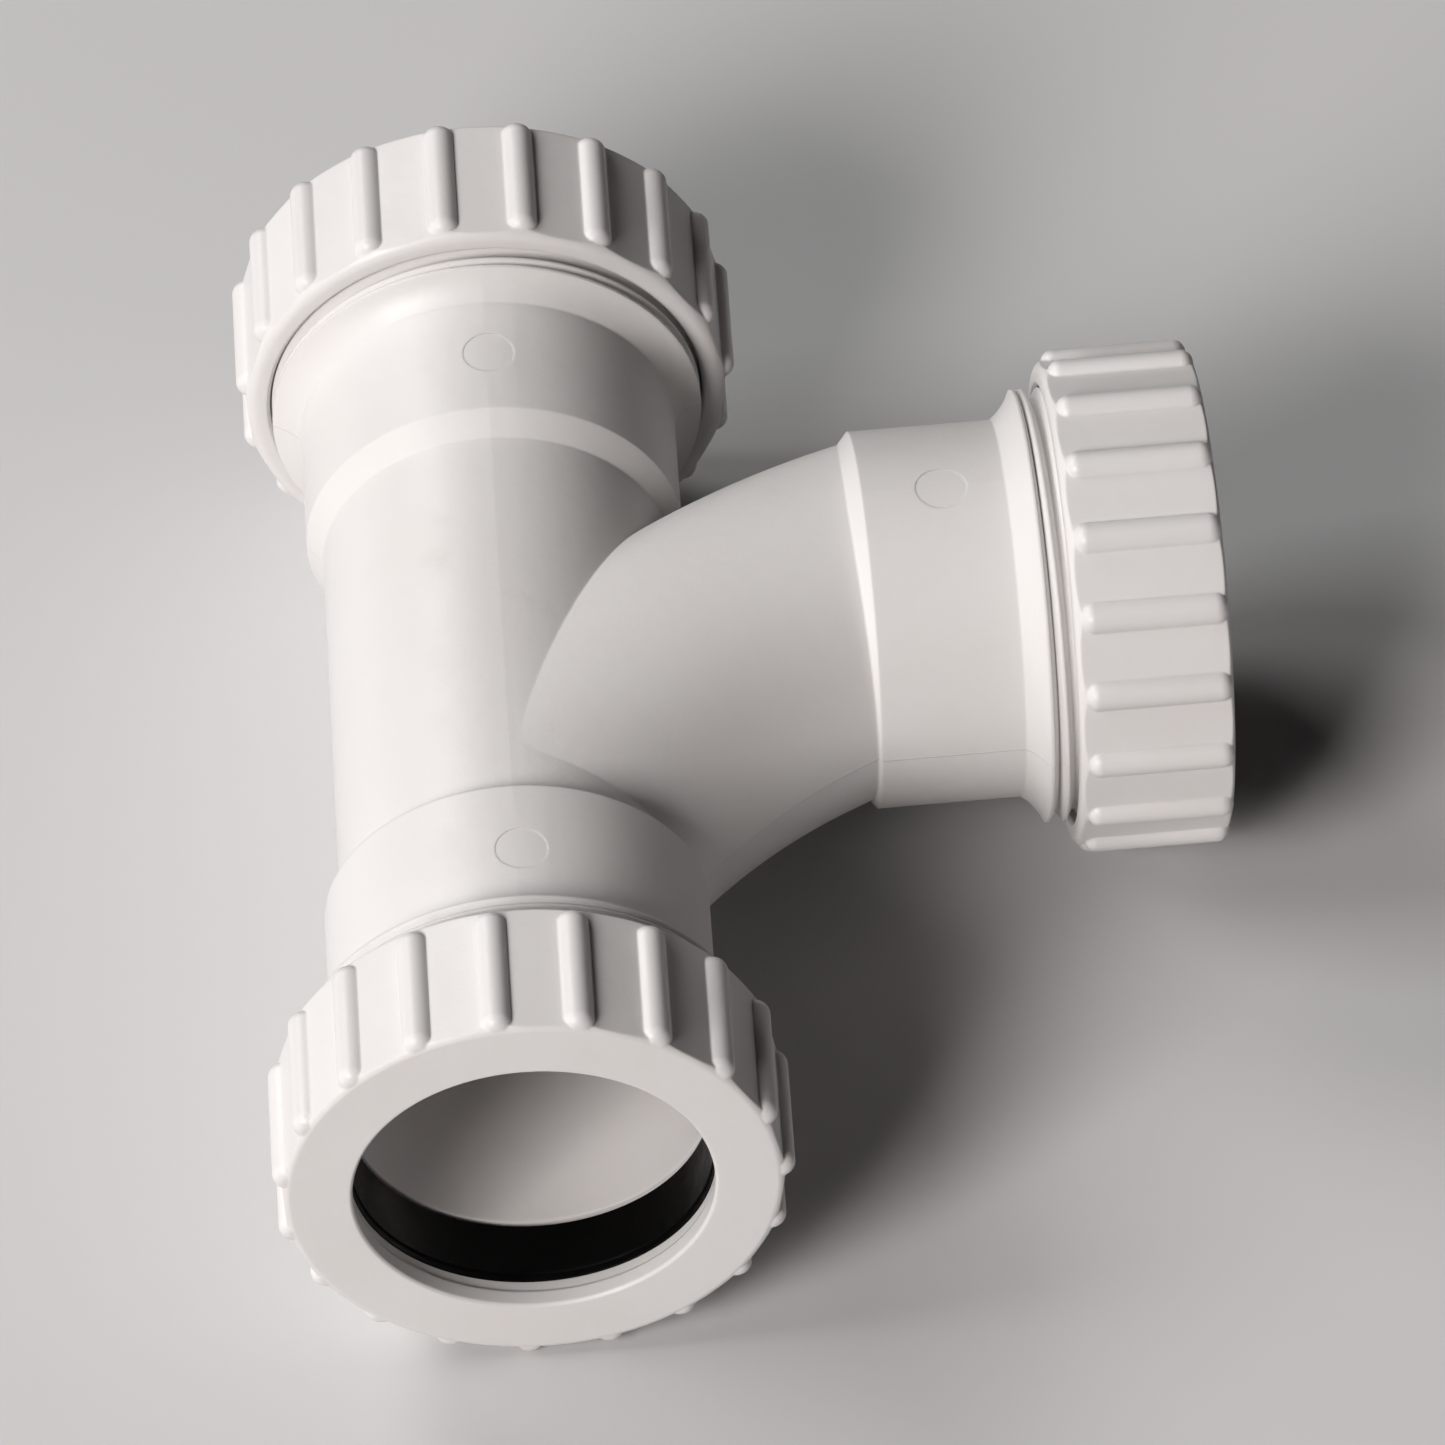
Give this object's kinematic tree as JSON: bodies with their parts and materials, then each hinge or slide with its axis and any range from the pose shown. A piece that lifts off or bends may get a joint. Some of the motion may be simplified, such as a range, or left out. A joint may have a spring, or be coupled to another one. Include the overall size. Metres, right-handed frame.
{
  "type": "swept waste tee fitting",
  "caption": "White plastic swept waste pipe tee with a ribbed compression cap nut, slip washer and black tapered seal at each end.",
  "frame": {"origin": "centre of the outlet socket's pipe stop, on the centreline of the run", "axes": "-Y points out of the outlet and +Y out of the inlet, along the run; +X is the side the branch leaves on; +Z is square to the plane of the tee"},
  "size_m": [0.1206, 0.1487, 0.0628],
  "materials": {
    "body_plastic": "satin white polypropylene",
    "nut_plastic": "satin white polypropylene",
    "washer_plastic": "smooth white polypropylene",
    "seal_rubber": "matt black rubber"
  },
  "bodies": {
    "fitting_body": {"tee_body": "body_plastic"},
    "outlet_washer": {"outlet_slip_washer": "washer_plastic"},
    "outlet_nut": {"outlet_cap_nut": "nut_plastic"},
    "outlet_seal_ring": {"outlet_seal": "seal_rubber"},
    "inlet_washer": {"inlet_slip_washer": "washer_plastic"},
    "inlet_nut": {"inlet_cap_nut": "nut_plastic"},
    "inlet_seal_ring": {"inlet_seal": "seal_rubber"},
    "branch_washer": {"branch_slip_washer": "washer_plastic"},
    "branch_nut": {"branch_cap_nut": "nut_plastic"},
    "branch_seal_ring": {"branch_seal": "seal_rubber"}
  },
  "joints": [
    {"name": "outlet_nut_turn", "type": "hinge", "parent": "outlet_washer", "child": "outlet_nut", "pos_m": [0, 0, 0], "axis": [0, -1, 0], "range_deg": [0, 1944]},
    {"name": "outlet_nut_travel", "type": "slide", "parent": "fitting_body", "child": "outlet_washer", "axis": [0, -1, 0], "range_m": [0, 0.0125]},
    {"name": "outlet_seal_travel", "type": "slide", "parent": "fitting_body", "child": "outlet_seal_ring", "axis": [0, -1, 0], "range_m": [0, 0.0125]},
    {"name": "inlet_nut_turn", "type": "hinge", "parent": "inlet_washer", "child": "inlet_nut", "pos_m": [0, 0.07135, 0], "axis": [0, 1, 0], "range_deg": [0, 1944]},
    {"name": "inlet_nut_travel", "type": "slide", "parent": "fitting_body", "child": "inlet_washer", "axis": [0, 1, 0], "range_m": [0, 0.0125]},
    {"name": "inlet_seal_travel", "type": "slide", "parent": "fitting_body", "child": "inlet_seal_ring", "axis": [0, 1, 0], "range_m": [0, 0.0125]},
    {"name": "branch_nut_turn", "type": "hinge", "parent": "branch_washer", "child": "branch_nut", "pos_m": [0.04945, 0.04966, 0], "axis": [0.999, 0.0436, 0], "range_deg": [0, 1944]},
    {"name": "branch_nut_travel", "type": "slide", "parent": "fitting_body", "child": "branch_washer", "axis": [0.999, 0.0436, 0], "range_m": [0, 0.0125]},
    {"name": "branch_seal_travel", "type": "slide", "parent": "fitting_body", "child": "branch_seal_ring", "axis": [0.999, 0.0436, 0], "range_m": [0, 0.0125]}
  ],
  "couplings": [
    {"joint": "outlet_nut_travel", "follows": "outlet_nut_turn", "m_per_rad": 0.0003675},
    {"joint": "outlet_seal_travel", "follows": "outlet_nut_turn", "m_per_rad": 0.0003675},
    {"joint": "inlet_nut_travel", "follows": "inlet_nut_turn", "m_per_rad": 0.0003675},
    {"joint": "inlet_seal_travel", "follows": "inlet_nut_turn", "m_per_rad": 0.0003675},
    {"joint": "branch_nut_travel", "follows": "branch_nut_turn", "m_per_rad": 0.0003675},
    {"joint": "branch_seal_travel", "follows": "branch_nut_turn", "m_per_rad": 0.0003675}
  ]
}
